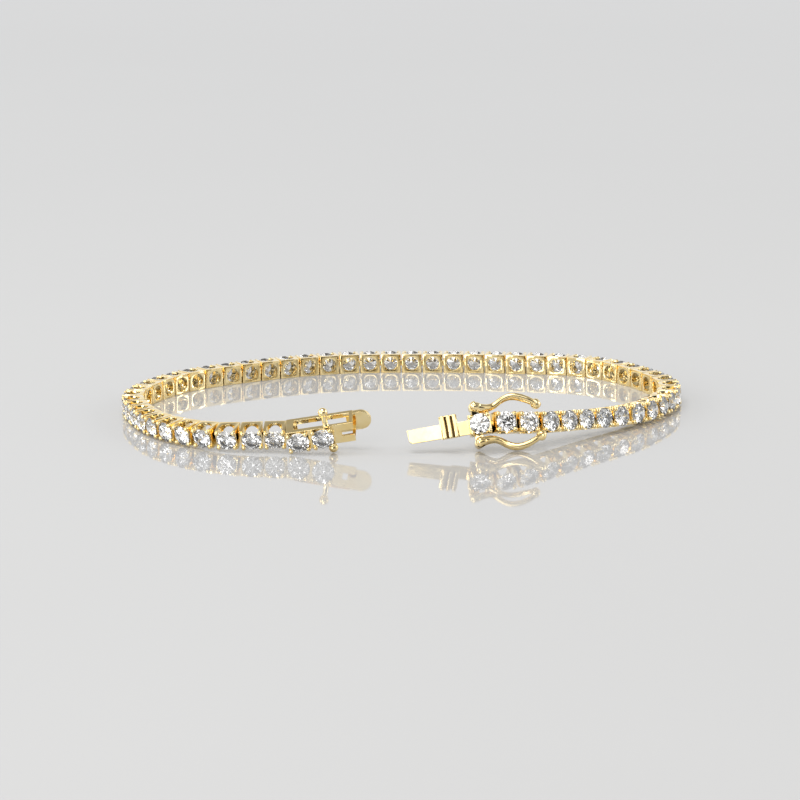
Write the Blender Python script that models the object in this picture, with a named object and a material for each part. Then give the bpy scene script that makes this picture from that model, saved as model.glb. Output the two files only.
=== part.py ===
import bpy
import bmesh
from math import cos, sin, radians, pi, sqrt
from mathutils import Matrix, Vector

# Tennis bracelet standing on its edge with the clasp open. Metres, +Z up.
# Each piece is modelled in a link's own frame: x along the string, y towards the wrist, z up,
# so the stones look towards -y.

# link and stone
pitch = 0.0030
link_gap = 0.00018
link_height = 0.00264
plate_thickness = 0.00084
wall_thickness = 0.00044
wall_front = 0.00062
plate_back = 0.00150
plate_relief = 0.00012
prong_bite = 0.00010
prong_angle = 38.5
prong_front = 0.00142
azure_diameter = 0.00196
stone_diameter = 0.00268
table_front = 0.00150
crown_height = 0.00042
pavilion_depth = 0.00116
table_share = 0.58
stone_sides = 8

# hinge between links: a knuckle between the inner plates
hinge_inset = 0.00090
knuckle_width = 0.00060
knuckle_height = 0.00076
knuckle_grip = 0.00028
seat_clearance = 0.00014

# string
link_count = 55
left_link_count = 28
route = [
    (-4.76, -9.30), (-7.64, -8.96), (-9.90, -7.16), (-11.26, -4.50), (-11.78, -1.54),
    (-10.05, 2.02), (-6.73, 4.31), (-2.93, 5.80), (1.06, 5.96), (5.05, 5.62),
    (8.83, 4.68), (11.34, 1.74), (12.08, -1.22), (10.54, -4.80), (7.42, -7.48), (5.68, -8.74), (3.70, -9.48),
]

# how the open ends lie
box_turn = -3.4
box_rise = 9.2
box_lean = 20.0
box_lean_links = 10
box_lift_links = 7
tongue_turn = 6.0
tongue_rise = 8.2
tongue_lean = -21.0
tongue_lean_links = 15
tongue_lift_links = 11
lift_bend = 2.1

# box of the clasp, measured from its second stone
box_left = 0.00462
box_right = 0.00406
box_end_wall = 0.00100
box_slot_wall = 0.00042
box_height = 0.00284
box_stone_diameter = 0.00288
box_stand = 0.00106
box_rail_wall = 0.00056
box_front_inner = -0.00108
box_front_rail = 0.00174
box_plate_set = 0.00030
box_claw_root = 0.00054
box_stone_step = 0.00320
window_height = 0.00160
slot_height = 0.00224
side_slot_height = 0.00082
side_slot_length = 0.00116
tab_radius = 0.00134
tab_reach = 0.00084
post_diameter = 0.00072
upper_post_place = 0.00064
lower_post_place = 0.00098
post_depth = -0.00120
ball_diameter = 0.00124
upper_ball_stand = 0.00200
lower_ball_stand = 0.00070

# tongue side of the clasp, measured from the clasp link's middle
clasp_half = 0.00150
neck_height = 0.00184
neck_drop = 0.00010
neck_thickness = 0.00040
neck_back = 0.00070
tab_near = 0.00280
tab_far = 0.00512
tab_height = 0.00300
tab_rise = 0.00028
tab_front = 0.00130
tab_thickness = 0.00100
rib_count = 3
rib_groove = 0.00022
tongue_length = 0.00418
tongue_root_height = 0.00196
tongue_tip_height = 0.00182
leaf_thickness = 0.00030
leaf_gap = 0.00034
fold_gap = 0.00020

# safety catches
catch_place = -0.00034
catch_stand = 0.00234
catch_length = 0.00826
catch_wire = 0.00070
pin_diameter = 0.00044
pin_clearance = 0.00014
lug_wall = 0.00030
lug_length = 0.00100
knob_diameter = 0.00130
knob_reach = 0.00140
end_knob_diameter = 0.00106
upper_fold = -6.4
lower_fold = 2.6
catch_path = [
    {"run": 0.00, "bow": 0.00, "spread": 1.00},
    {"run": 0.13, "bow": -0.02, "spread": 0.86},
    {"run": 0.27, "bow": -0.02, "spread": 0.46},
    {"run": 0.38, "bow": 0.05, "spread": 0.46},
    {"run": 0.48, "bow": 0.11, "spread": 0.62},
    {"run": 0.60, "bow": 0.14, "spread": 0.72},
    {"run": 0.74, "bow": 0.11, "spread": 0.70},
    {"run": 0.88, "bow": 0.05, "spread": 0.56},
    {"run": 0.97, "bow": 0.00, "spread": 0.30},
]

gold = {"colour": (0.90, 0.66, 0.25, 1.0), "roughness": 0.14, "metallic": 1.0}
diamond = {"colour": (0.93, 0.95, 0.98, 1.0), "roughness": 0.03, "metallic": 0.0}


def clear_scene():
    for thing in list(bpy.data.objects):
        bpy.data.objects.remove(thing, do_unlink=True)


def add_object(name, mesh):
    thing = bpy.data.objects.new(name, mesh)
    bpy.context.scene.collection.objects.link(thing)
    return thing


def mesh_from(name, points, faces):
    mesh = bpy.data.meshes.new(name)
    mesh.from_pydata([tuple(p) for p in points], [], faces)
    form = bmesh.new()
    form.from_mesh(mesh)
    bmesh.ops.recalc_face_normals(form, faces=form.faces)
    form.to_mesh(mesh)
    form.free()
    return mesh


def bar(x_range, y_range, z_range):
    # a straight block between two x, two y and two z places
    points = [(x, y, z) for z in z_range for y in y_range for x in x_range]
    faces = [(0, 1, 3, 2), (4, 5, 7, 6), (0, 1, 5, 4), (2, 3, 7, 6), (0, 2, 6, 4), (1, 3, 7, 5)]
    return mesh_from("bar", points, faces)


def prism(outline, axis, low, high):
    # an outline of points pushed along one axis, 0 for x, 1 for y, 2 for z
    others = [k for k in (0, 1, 2) if k != axis]
    points = []
    for level in (low, high):
        for corner in outline:
            place = [0.0, 0.0, 0.0]
            place[axis] = level
            place[others[0]] = corner[0]
            place[others[1]] = corner[1]
            points.append(tuple(place))
    count = len(outline)
    faces = [tuple(range(count)), tuple(range(count, 2 * count))]
    for k in range(count):
        after = (k + 1) % count
        faces.append((k, after, count + after, count + k))
    return mesh_from("prism", points, faces)


def ring_points(radius, sides, centre=(0.0, 0.0), turn=0.0):
    return [(centre[0] + radius * cos(turn + 2 * pi * k / sides),
             centre[1] + radius * sin(turn + 2 * pi * k / sides)) for k in range(sides)]


def ball(centre, diameter, around=10, rings=5):
    # a round bead with its poles along z
    form = bmesh.new()
    bmesh.ops.create_uvsphere(form, u_segments=around, v_segments=rings, radius=diameter / 2)
    bmesh.ops.translate(form, verts=form.verts, vec=centre)
    mesh = bpy.data.meshes.new("ball")
    form.to_mesh(mesh)
    form.free()
    return mesh


def tube(places, radius, sides, up=Vector((0, 1, 0))):
    # a wire along a row of places, its rings mitred at each bend
    points = []
    count = len(places)
    for k, place in enumerate(places):
        before = places[max(k - 1, 0)]
        after = places[min(k + 1, count - 1)]
        way = (after - before).normalized()
        side = up.cross(way)
        if side.length < 1e-6:
            side = Vector((0, 0, 1)).cross(way)
        side.normalize()
        over = way.cross(side)
        for corner in ring_points(radius, sides, turn=pi / sides):
            points.append(place + side * corner[0] + over * corner[1])
    faces = [tuple(range(sides)), tuple(range((count - 1) * sides, count * sides))]
    for k in range(count - 1):
        for j in range(sides):
            after = (j + 1) % sides
            faces.append((k * sides + j, k * sides + after, (k + 1) * sides + after, (k + 1) * sides + j))
    return mesh_from("tube", points, faces)


def combine(mesh, others, operation):
    # exact union or cut of one mesh with each of the others in turn
    base = add_object("base", mesh)
    helpers = []
    for k, other in enumerate(others):
        helper = add_object("helper", other)
        helper.hide_render = True
        helper.display_type = "WIRE"
        helpers.append(helper)
        step = base.modifiers.new("step_%d" % k, "BOOLEAN")
        step.operation = operation
        step.solver = "EXACT"
        step.object = helper
    bpy.context.view_layer.update()
    graph = bpy.context.evaluated_depsgraph_get()
    result = bpy.data.meshes.new_from_object(base.evaluated_get(graph))
    for thing in helpers + [base]:
        bpy.data.objects.remove(thing, do_unlink=True)
    return result


def fuse(mesh, others):
    return combine(mesh, others, "UNION")


def cut(mesh, others):
    return combine(mesh, others, "DIFFERENCE")


def tidy(mesh):
    # flat neighbours become one face again
    form = bmesh.new()
    form.from_mesh(mesh)
    bmesh.ops.remove_doubles(form, verts=form.verts, dist=2e-7)
    bmesh.ops.dissolve_limit(form, angle_limit=radians(0.2), verts=form.verts, edges=form.edges)
    bmesh.ops.triangulate(form, faces=form.faces)
    form.to_mesh(mesh)
    form.free()
    return mesh


def moved(mesh, matrix):
    copy = mesh.copy()
    copy.transform(matrix)
    return copy


def joined(meshes):
    # several closed meshes side by side in one mesh
    form = bmesh.new()
    for mesh in meshes:
        form.from_mesh(mesh)
    result = bpy.data.meshes.new("joined")
    form.to_mesh(result)
    form.free()
    return result


def stone_mesh(diameter, front):
    # round stone with a table, eight crown facets and eight pavilion facets
    rows = [(diameter / 2 * table_share, -front), (diameter / 2, -front + crown_height)]
    points = []
    for radius, depth in rows:
        points += [(x, depth, z) for x, z in ring_points(radius, stone_sides)]
    tip = len(points)
    points.append((0, -front + crown_height + pavilion_depth, 0))
    faces = [tuple(range(stone_sides))]
    for row in range(len(rows) - 1):
        for k in range(stone_sides):
            after = (k + 1) % stone_sides
            low = row * stone_sides
            high = low + stone_sides
            faces.append((low + k, low + after, high + after, high + k))
    last = (len(rows) - 1) * stone_sides
    for k in range(stone_sides):
        faces.append((last + k, last + (k + 1) % stone_sides, tip))
    return mesh_from("stone", points, faces)


def seat_cutter(diameter, front):
    # the stone a little larger, about the middle of its girdle
    girdle = -front + crown_height
    size = (diameter + 3 * seat_clearance) / diameter
    grow = Matrix.Translation((0, girdle, 0)) @ Matrix.Scale(size, 4) @ Matrix.Translation((0, -girdle, 0))
    return moved(stone_mesh(diameter, front), grow)


def prongs(diameter, half_length, half_height, front, back, step=0.0):
    # four corner claws that rise past the girdle, with an inner corner that bites into the stone
    hold = diameter / 2 - prong_bite
    claws = []
    for x_side in (-1, 1):
        for z_side in (-1, 1):
            xs = sorted((step + x_side * half_length, step + x_side * hold * cos(radians(prong_angle))))
            zs = sorted((z_side * half_height, z_side * hold * sin(radians(prong_angle))))
            claws.append(bar(xs, (-front, back), zs))
    return claws


def link_body():
    # inner plate with its round hole, two side walls and four claws
    half = (pitch - link_gap) / 2
    inner = half - wall_thickness
    plate_front = plate_back - plate_thickness
    relief_start = plate_back - plate_thickness / 2
    outline = [(-half + plate_relief, plate_back), (half - plate_relief, plate_back), (half, relief_start),
               (half, -wall_front), (inner, -wall_front), (inner, plate_front), (-inner, plate_front),
               (-inner, -wall_front), (-half, -wall_front), (-half, relief_start)]
    body = prism(outline, 2, -link_height / 2, link_height / 2)
    hole = prism(ring_points(azure_diameter / 2, 8, turn=pi / 8), 1,
                 plate_front - plate_thickness, plate_back + plate_thickness)
    body = cut(body, [hole])
    body = fuse(body, prongs(stone_diameter, half, link_height / 2, prong_front, -wall_front / 2))
    return tidy(body)


def link_with_stone():
    return tidy(fuse(link_body(), [stone_mesh(stone_diameter, table_front)]))


def smooth_route(places, steps):
    # an even, smooth curve through the route's points
    points = [Vector(p) * pitch for p in places]
    ends = [points[0] * 2 - points[1]] + points + [points[-1] * 2 - points[-2]]
    curve = []
    for k in range(1, len(ends) - 2):
        a, b, c, d = ends[k - 1:k + 3]
        ta = 0.0
        tb = ta + sqrt((b - a).length)
        tc = tb + sqrt((c - b).length)
        td = tc + sqrt((d - c).length)
        for j in range(steps):
            t = tb + (tc - tb) * j / steps
            a1 = a * ((tb - t) / (tb - ta)) + b * ((t - ta) / (tb - ta))
            a2 = b * ((tc - t) / (tc - tb)) + c * ((t - tb) / (tc - tb))
            a3 = c * ((td - t) / (td - tc)) + d * ((t - tc) / (td - tc))
            b1 = a1 * ((tc - t) / (tc - ta)) + a2 * ((t - ta) / (tc - ta))
            b2 = a2 * ((td - t) / (td - tb)) + a3 * ((t - tb) / (td - tb))
            curve.append(b1 * ((tc - t) / (tc - tb)) + b2 * ((t - tb) / (tc - tb)))
    curve.append(ends[-2])
    curve.append(ends[-2] + (ends[-2] - ends[-3]).normalized() * pitch * 12)
    return curve


def walk(curve, steps):
    # hinge places along the curve: each step covers one pitch, less what it rises
    places = [curve[0].copy()]
    here = 0
    for step in steps:
        origin = places[-1]
        while here < len(curve) - 2 and (curve[here + 1] - origin).length < step:
            here += 1
        low, high = 0.0, 1.0
        for _ in range(40):
            middle = (low + high) / 2
            if (curve[here].lerp(curve[here + 1], middle) - origin).length < step:
                low = middle
            else:
                high = middle
        places.append(curve[here].lerp(curve[here + 1], high))
    return places


def frame_at(place, along, lean):
    # link frame: x against the walk, y inwards, z up; a positive lean tips the top outwards
    x = along.normalized()
    flat = Vector((-x.y, x.x, 0)).normalized()
    up = x.cross(flat).normalized()
    tip = radians(lean)
    y = flat * cos(tip) + up * sin(tip)
    z = up * cos(tip) - flat * sin(tip)
    turn = Matrix((x, y, z)).transposed().to_4x4()
    return Matrix.Translation(place) @ turn


def turned(turn, rise, lean):
    direction = Vector((cos(radians(turn)) * cos(radians(rise)),
                        sin(radians(turn)) * cos(radians(rise)), sin(radians(rise))))
    return frame_at(Vector((0, 0, 0)), direction, lean)


def floor_height(lean):
    # height of a leaning link's middle when its lowest corner is on the floor
    tip = radians(lean)
    reach = prong_front if lean > 0 else plate_back
    return link_height / 2 * cos(tip) + reach * abs(sin(tip))


def lean_at(place):
    # lean of the string at a place counted in links from the box
    left = box_lean * max(0.0, 1 - place / box_lean_links)
    right = tongue_lean * max(0.0, 1 - (link_count - place) / tongue_lean_links)
    return left + right


def string_layout(box_height_at_hinge, tongue_height_at_hinge):
    # heights of the hinges, then their places, then one frame for each link
    heights = []
    for k in range(link_count + 1):
        lean = lean_at(k)
        heights.append(floor_height(lean) + hinge_inset * sin(radians(lean)))
    first = box_height_at_hinge - heights[0]
    last = tongue_height_at_hinge - heights[-1]
    for k in range(link_count + 1):
        heights[k] += first * max(0.0, 1 - k / box_lift_links) ** lift_bend
        heights[k] += last * max(0.0, 1 - (link_count - k) / tongue_lift_links) ** lift_bend
    # a link on a slope stands on its lower corner
    level = list(heights)
    for k in range(1, link_count):
        slope = abs(level[k + 1] - level[k - 1]) / (2 * pitch)
        heights[k] += slope * (pitch - link_gap) / 2
    steps = [sqrt(pitch ** 2 - (heights[k + 1] - heights[k]) ** 2) for k in range(link_count)]
    flat = walk(smooth_route(route, 24), steps)
    hinges = [Vector((p.x, p.y, h)) for p, h in zip(flat, heights)]
    frames = []
    for k in range(link_count):
        near, far = hinges[k], hinges[k + 1]
        frame = frame_at((near + far) / 2, near - far, lean_at(k + 0.5))
        frames.append(frame @ Matrix.Translation((0, -hinge_inset, 0)))
    return hinges, frames


def knuckle(frame, reach_left, reach_right, extra=0.0):
    # hinge block at a hinge place, inside the inner plates' thickness
    block = bar((-reach_left - extra, reach_right + extra),
                (-knuckle_width / 2 - extra, knuckle_width / 2 + extra),
                (-knuckle_height / 2 - extra, knuckle_height / 2 + extra))
    return moved(block, frame)


def hinge_frame(hinges, index):
    along = hinges[max(index - 1, 0)] - hinges[min(index + 1, link_count)]
    return frame_at(hinges[index], along, lean_at(index))


def build_chain(frames, link, knuckle_frames, pocket_frames):
    # links side by side, knuckles that join them, and a pocket where another piece's knuckle enters
    grip = link_gap / 2 + knuckle_grip
    links = [moved(link, frame) for frame in frames]
    for index, frame in pocket_frames:
        links[index] = tidy(cut(links[index], [knuckle(frame, grip, grip, seat_clearance)]))
    blocks = [knuckle(frame, grip, grip) for frame in knuckle_frames]
    return fuse(joined(links), [joined(blocks)])


def clasp_box_mesh():
    # frame: x along, zero at the second stone; y inwards; z up
    half = box_height / 2
    left, right = -box_left, box_right
    seat_half = (pitch - link_gap) / 2
    body = bar((left, right), (-box_front_rail, plate_back), (-half, half))
    room_left = left + box_end_wall
    room_right = right - box_slot_wall
    room = bar((room_left, room_right), (box_front_inner, plate_back - box_rail_wall), (-half * 2, half * 2))
    rear = bar((room_left + box_rail_wall / 2, room_right - box_rail_wall),
               (plate_back - box_rail_wall * 2, plate_back * 2), (-window_height / 2, window_height / 2))
    mouth = bar((room_right - box_rail_wall, right * 2),
                (box_front_inner, plate_back - box_rail_wall), (-slot_height / 2, slot_height / 2))
    side = bar((right - box_slot_wall - side_slot_length, right * 2), (-box_front_rail * 2, box_front_inner),
               (-side_slot_height / 2, side_slot_height / 2))
    plate_step = bar((seat_half, right * 2), (-box_front_rail * 2, -box_front_rail + box_plate_set),
                     (-half * 2, half * 2))
    body = cut(body, [room, rear, mouth, side, plate_step])
    tab = bar((right - box_slot_wall, right + tab_reach), (plate_back - box_rail_wall, plate_back),
              (-tab_radius, tab_radius))
    disc = prism(ring_points(tab_radius, 16, (right + tab_reach, 0), pi / 16), 1,
                 plate_back - box_rail_wall, plate_back)
    extra = [tab, disc]
    for k in (0, 1):
        extra += prongs(box_stone_diameter, seat_half, half, prong_front + box_stand,
                        -box_front_rail + box_claw_root, -k * box_stone_step)
    for side, at, stand in ((-1, lower_post_place, lower_ball_stand), (1, upper_post_place, upper_ball_stand)):
        start = Vector((at, post_depth, side * (half - box_rail_wall)))
        end = Vector((at, post_depth, side * (half + stand)))
        extra.append(tube([start, end], post_diameter / 2, 8))
        extra.append(ball(end, ball_diameter))
    body = fuse(body, extra)
    for k in (0, 1):
        place = Matrix.Translation((-k * box_stone_step, 0, 0))
        body = cut(body, [moved(seat_cutter(box_stone_diameter, table_front + box_stand), place)])
    pin = knuckle(Matrix.Translation((left - link_gap / 2, hinge_inset, 0)),
                  link_gap / 2 + knuckle_grip, link_gap / 2 + knuckle_grip)
    return tidy(fuse(body, [pin]))


def clasp_tongue_mesh():
    # frame: x along, zero at the clasp link's middle; the tongue points to -x
    half = link_height / 2
    setting = link_body()
    shoulder = bar((-clasp_half - wall_thickness / 2, -clasp_half + wall_thickness),
                   (-wall_front, plate_back), (-half * 0.8, half * 0.8))
    neck = bar((-tab_near - tab_thickness, -clasp_half), (neck_back - neck_thickness, neck_back),
               (-neck_drop - neck_height / 2, -neck_drop + neck_height / 2))
    tip = -tab_far - tongue_length
    root = tongue_root_height / 2
    point = tongue_tip_height / 2
    lower = prism([(-tab_near - tab_thickness, -root), (tip + leaf_thickness, -point), (tip, -point * 0.6),
                   (tip, point * 0.6), (tip + leaf_thickness, point), (-tab_near - tab_thickness, root)],
                  1, neck_back - leaf_thickness, neck_back)
    # the leaf is folded at the tip and rises towards the thumb tab
    rise_from = neck_back - leaf_thickness - fold_gap
    rise_to = rise_from - leaf_gap
    side_line = [(tip, neck_back), (tip, rise_from - leaf_thickness), (-tab_far, rise_to - leaf_thickness),
                 (-tab_near, rise_to - leaf_thickness), (-tab_near, rise_to), (-tab_far, rise_to),
                 (tip + leaf_thickness, rise_from), (tip + leaf_thickness, neck_back)]
    upper = prism(side_line, 2, -root, root)
    trim = []
    for side in (-1, 1):
        trim.append(prism([(tip - leaf_thickness, side * point * 0.6), (tip + leaf_thickness, side * point),
                           (-tab_far, side * root), (-tab_far, side * root * 2),
                           (tip - leaf_thickness, side * root * 2)], 1, -tab_front * 2, plate_back * 2))
    blade = tidy(cut(fuse(lower, [upper]), trim))
    tab_half = tab_height / 2
    tab = bar((-tab_far, -tab_near), (-tab_front, -tab_front + tab_thickness),
              (tab_rise - tab_half, tab_rise + tab_half))
    stem = bar((-tab_far, -tab_near), (-tab_front + tab_thickness / 2, rise_to), (-root, root))
    width = (tab_far - tab_near) / rib_count
    grooves = []
    for k in range(1, rib_count):
        at = -tab_far + k * width
        grooves.append(bar((at - rib_groove / 2, at + rib_groove / 2),
                           (-tab_front * 2, -tab_front + tab_thickness / 2), (-tab_height, tab_height)))
    thumb = fuse(cut(tab, grooves), [stem])
    extra = [shoulder, neck, blade, thumb]
    lug_radius = pin_diameter / 2 + pin_clearance + lug_wall
    bores = []
    for side in (-1, 1):
        centre = (catch_place, side * catch_stand)
        extra.append(prism(ring_points(lug_radius, 10, centre), 1, -lug_length / 2, lug_length / 2))
        zs = sorted((side * (half - wall_thickness), side * catch_stand))
        extra.append(bar((catch_place - lug_radius * 0.8, catch_place + lug_radius * 0.8),
                         (-lug_length / 2, lug_length / 2), zs))
        bores.append(prism(ring_points(pin_diameter / 2 + pin_clearance, 8, centre), 1,
                           -lug_length, lug_length))
    # the lug's foot bridges the open side of the setting
    for side in (-1, 1):
        zs = sorted((side * (half - wall_thickness), side * half))
        extra.append(bar((-clasp_half + wall_thickness / 2, clasp_half - wall_thickness / 2),
                         (-lug_length / 2, plate_back - plate_thickness / 2), zs))
    body = cut(fuse(setting, extra), bores)
    cup = seat_cutter(stone_diameter, table_front)
    pin = knuckle(Matrix.Translation((pitch / 2, hinge_inset, 0)), link_gap / 2 + knuckle_grip,
                  link_gap / 2 + knuckle_grip)
    return tidy(fuse(cut(body, [cup]), [pin]))


def catch_mesh(fold, side):
    # wire loop with a front and a rear strand, round knobs on the pin's ends
    places = []
    for share in (-1, 1):
        row = []
        for stop in catch_path:
            run = stop["run"] * catch_length
            bow = stop["bow"] * catch_length
            row.append(Vector((run, share * stop["spread"] * knob_reach, bow)))
        places.append(row)
    tip = Vector((catch_length, 0, 0))
    wire = tube(places[0] + [tip] + list(reversed(places[1])), catch_wire / 2, 6)
    pin = tube([Vector((0, -knob_reach, 0)), Vector((0, knob_reach, 0))], pin_diameter / 2, 8,
               Vector((0, 0, 1)))
    knobs = [ball(Vector((0, share * knob_reach, 0)), knob_diameter, 8, 5) for share in (-1, 1)]
    end = ball(Vector((catch_length - end_knob_diameter / 4, 0, 0)), end_knob_diameter, 8, 5)
    body = fuse(wire, [pin] + knobs + [end])
    body = tidy(body)
    turn = Matrix.Rotation(-radians(fold), 4, "Y")
    place = Matrix.Translation((catch_place, 0, catch_stand))
    body.transform(place @ turn)
    if side < 0:
        body.transform(Matrix.Scale(-1, 4, (0, 0, 1)))
        body.flip_normals()
    return body


def lowest(mesh, frame):
    return min((frame @ v.co).z for v in mesh.vertices)


def finish(name, mesh, look):
    thing = add_object(name, mesh)
    material = bpy.data.materials.new(name + "_material")
    material.use_nodes = True
    shader = material.node_tree.nodes["Principled BSDF"]
    shader.inputs["Base Color"].default_value = look["colour"]
    shader.inputs["Roughness"].default_value = look["roughness"]
    shader.inputs["Metallic"].default_value = look["metallic"]
    thing.data.materials.clear()
    thing.data.materials.append(material)
    return thing


def build():
    clear_scene()
    box_mesh = clasp_box_mesh()
    tongue_mesh = clasp_tongue_mesh()
    catches = {"safety_upper": catch_mesh(upper_fold, 1), "safety_lower": catch_mesh(lower_fold, -1)}
    single = stone_mesh(stone_diameter, table_front)
    large = stone_mesh(box_stone_diameter, table_front)
    proud = Matrix.Translation((0, -box_stand, 0))

    # the box stands on its lower ball, the tongue side on its lower catch
    box_turned = turned(box_turn, box_rise, box_lean)
    box_drop = lowest(box_mesh, box_turned)
    box_hinge = box_turned @ Vector((-box_left - link_gap / 2, hinge_inset, 0))
    tongue_turned = turned(tongue_turn, tongue_rise, tongue_lean)
    tongue_drop = lowest(catches["safety_lower"], tongue_turned)
    tongue_hinge = tongue_turned @ Vector((pitch / 2, hinge_inset, 0))
    hinges, frames = string_layout(box_hinge.z - box_drop, tongue_hinge.z - tongue_drop)
    box_frame = Matrix.Translation(hinges[0] - box_hinge) @ box_turned
    tongue_frame = Matrix.Translation(hinges[-1] - tongue_hinge) @ tongue_turned

    link = link_with_stone()
    joints = [hinge_frame(hinges, k) for k in range(link_count + 1)]
    box_pin = box_frame @ Matrix.Translation((-box_left - link_gap / 2, hinge_inset, 0))
    tongue_pin = tongue_frame @ Matrix.Translation((pitch / 2, hinge_inset, 0))
    chain_left = build_chain(frames[:left_link_count], link, joints[1:left_link_count + 1], [(0, box_pin)])
    chain_right = build_chain(frames[left_link_count:], link, joints[left_link_count + 1:link_count],
                              [(0, joints[left_link_count]), (-1, tongue_pin)])
    pieces = [
        ("chain_left", chain_left, gold),
        ("chain_right", chain_right, gold),
        ("clasp_box", moved(box_mesh, box_frame), gold),
        ("box_stone_1", moved(large, box_frame @ proud @ Matrix.Translation((-box_stone_step, 0, 0))), diamond),
        ("box_stone_2", moved(large, box_frame @ proud), diamond),
        ("clasp_tongue", moved(tongue_mesh, tongue_frame), gold),
        ("clasp_stone", moved(single, tongue_frame), diamond),
    ]
    for name, mesh in catches.items():
        pieces.append((name, moved(mesh, tongue_frame), gold))

    # the origin is the middle of the footprint, on the floor
    corners = [v.co for _, mesh, _ in pieces for v in mesh.vertices]
    middle = Vector(((min(c.x for c in corners) + max(c.x for c in corners)) / 2,
                     (min(c.y for c in corners) + max(c.y for c in corners)) / 2,
                     min(c.z for c in corners)))
    shift = Matrix.Translation(-middle)
    for name, mesh, look in pieces:
        mesh.transform(shift)
        finish(name, mesh, look)
    report(shift, frames, tongue_frame)


def report(shift, frames, tongue_frame):
    # sizes and places for whoever writes the data sheet
    total = 0
    for thing in bpy.data.objects:
        count = sum(len(p.vertices) - 2 for p in thing.data.polygons)
        total += count
        heights = [v.co.z for v in thing.data.vertices]
        print(thing.name, "triangles", count, "lowest %.5f highest %.5f" % (min(heights), max(heights)))
    print("triangles in all", total)
    for name, side in (("safety_upper", 1), ("safety_lower", -1)):
        place = shift @ tongue_frame @ Vector((catch_place, 0, side * catch_stand))
        axis = tongue_frame.to_3x3() @ Vector((0, 1, 0))
        print(name, "hinge at", [round(c, 6) for c in place], "axis", [round(c, 5) for c in axis])
    edge = shift @ frames[left_link_count - 3] @ Vector((0, plate_back - plate_thickness / 2, -link_height / 2))
    print("resting edge at", [round(c, 6) for c in edge])


build()
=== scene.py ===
import bpy
import bmesh
from math import cos, pi, radians, sin, sqrt
from mathutils import Matrix, Vector


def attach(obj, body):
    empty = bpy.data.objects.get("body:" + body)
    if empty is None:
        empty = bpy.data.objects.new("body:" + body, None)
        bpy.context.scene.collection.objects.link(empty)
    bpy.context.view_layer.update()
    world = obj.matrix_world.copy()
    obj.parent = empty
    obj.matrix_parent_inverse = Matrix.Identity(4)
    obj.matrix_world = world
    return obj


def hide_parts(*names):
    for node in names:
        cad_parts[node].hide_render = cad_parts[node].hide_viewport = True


# A tennis bracelet that stands on its edge with the clasp open.
# Pieces are shaped in millimetres in a link's own frame: x along the string, y towards the wrist,
# z up, so the stones look to -y. They get their place in metres when they are copied.

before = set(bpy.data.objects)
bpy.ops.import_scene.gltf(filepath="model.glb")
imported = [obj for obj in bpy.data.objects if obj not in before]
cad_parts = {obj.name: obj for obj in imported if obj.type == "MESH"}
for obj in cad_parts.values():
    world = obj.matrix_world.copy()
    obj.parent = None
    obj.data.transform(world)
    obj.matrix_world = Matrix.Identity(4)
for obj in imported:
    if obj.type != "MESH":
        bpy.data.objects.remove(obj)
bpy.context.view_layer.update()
print("frame loaded:", ", ".join(sorted(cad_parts)))
mm = 0.001


# small hand tools, each one a few clicks

def deselectAll():
    if bpy.context.object and bpy.context.object.mode != "OBJECT":
        bpy.ops.object.mode_set(mode="OBJECT")
    bpy.ops.object.select_all(action="DESELECT")


def pick(thing):
    deselectAll()
    thing.select_set(True)
    bpy.context.view_layer.objects.active = thing
    return thing


def settle(name, scale=(1, 1, 1)):
    # name the new primitive and put its place into its mesh
    thing = bpy.context.object
    thing.name = name
    thing.scale = scale
    pick(thing)
    bpy.ops.object.transform_apply(location=True, rotation=True, scale=True)
    return thing


def addBlock(name, x, y, z):
    deselectAll()
    middle = ((x[0] + x[1]) / 2, (y[0] + y[1]) / 2, (z[0] + z[1]) / 2)
    bpy.ops.mesh.primitive_cube_add(size=1, location=middle)
    return settle(name, (x[1] - x[0], y[1] - y[0], z[1] - z[0]))


def addDrum(name, radius, low, high, axis, across=(0, 0), sides=32, tipRadius=None):
    # a round bar or cone between two levels along y or z
    deselectAll()
    if axis == "y":
        middle = (across[0], (low + high) / 2, across[1])
        turn = (-pi / 2, 0, 0)
    else:
        middle = (across[0], across[1], (low + high) / 2)
        turn = (0, 0, 0)
    end = radius if tipRadius is None else tipRadius
    bpy.ops.mesh.primitive_cone_add(vertices=sides, radius1=radius, radius2=end, depth=high - low,
                                    location=middle, rotation=turn)
    return settle(name)


def editParts(thing, kind, test):
    # go into edit mode with only the wanted faces, edges or points selected
    pick(thing)
    bpy.ops.object.mode_set(mode="EDIT")
    bpy.ops.mesh.select_mode(type=kind)
    bpy.ops.mesh.select_all(action="DESELECT")
    form = bmesh.from_edit_mesh(thing.data)
    form.normal_update()
    if kind == "FACE":
        for face in form.faces:
            face.select_set(bool(test(face.calc_center_median(), face.normal)))
    elif kind == "EDGE":
        for edge in form.edges:
            a, b = edge.verts[0].co, edge.verts[1].co
            edge.select_set(bool(test((a + b) / 2, (b - a).normalized())))
    else:
        for point in form.verts:
            point.select_set(bool(test(point.co, point.normal)))
    form.select_flush_mode()
    bmesh.update_edit_mesh(thing.data)


def leaveEdit():
    bpy.ops.object.mode_set(mode="OBJECT")


def applyModifier(thing, kind, **settings):
    pick(thing)
    modifier = thing.modifiers.new(kind.lower(), kind)
    for key, value in settings.items():
        setattr(modifier, key, value)
    bpy.ops.object.modifier_apply(modifier=modifier.name)
    return thing


def cutAway(thing, *cutters):
    for cutter in cutters:
        applyModifier(thing, "BOOLEAN", operation="DIFFERENCE", solver="EXACT", object=cutter)
        bpy.data.objects.remove(cutter)
    return thing


def solder(thing, *others):
    for other in others:
        applyModifier(thing, "BOOLEAN", operation="UNION", solver="EXACT", object=other)
        bpy.data.objects.remove(other)
    return thing


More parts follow.
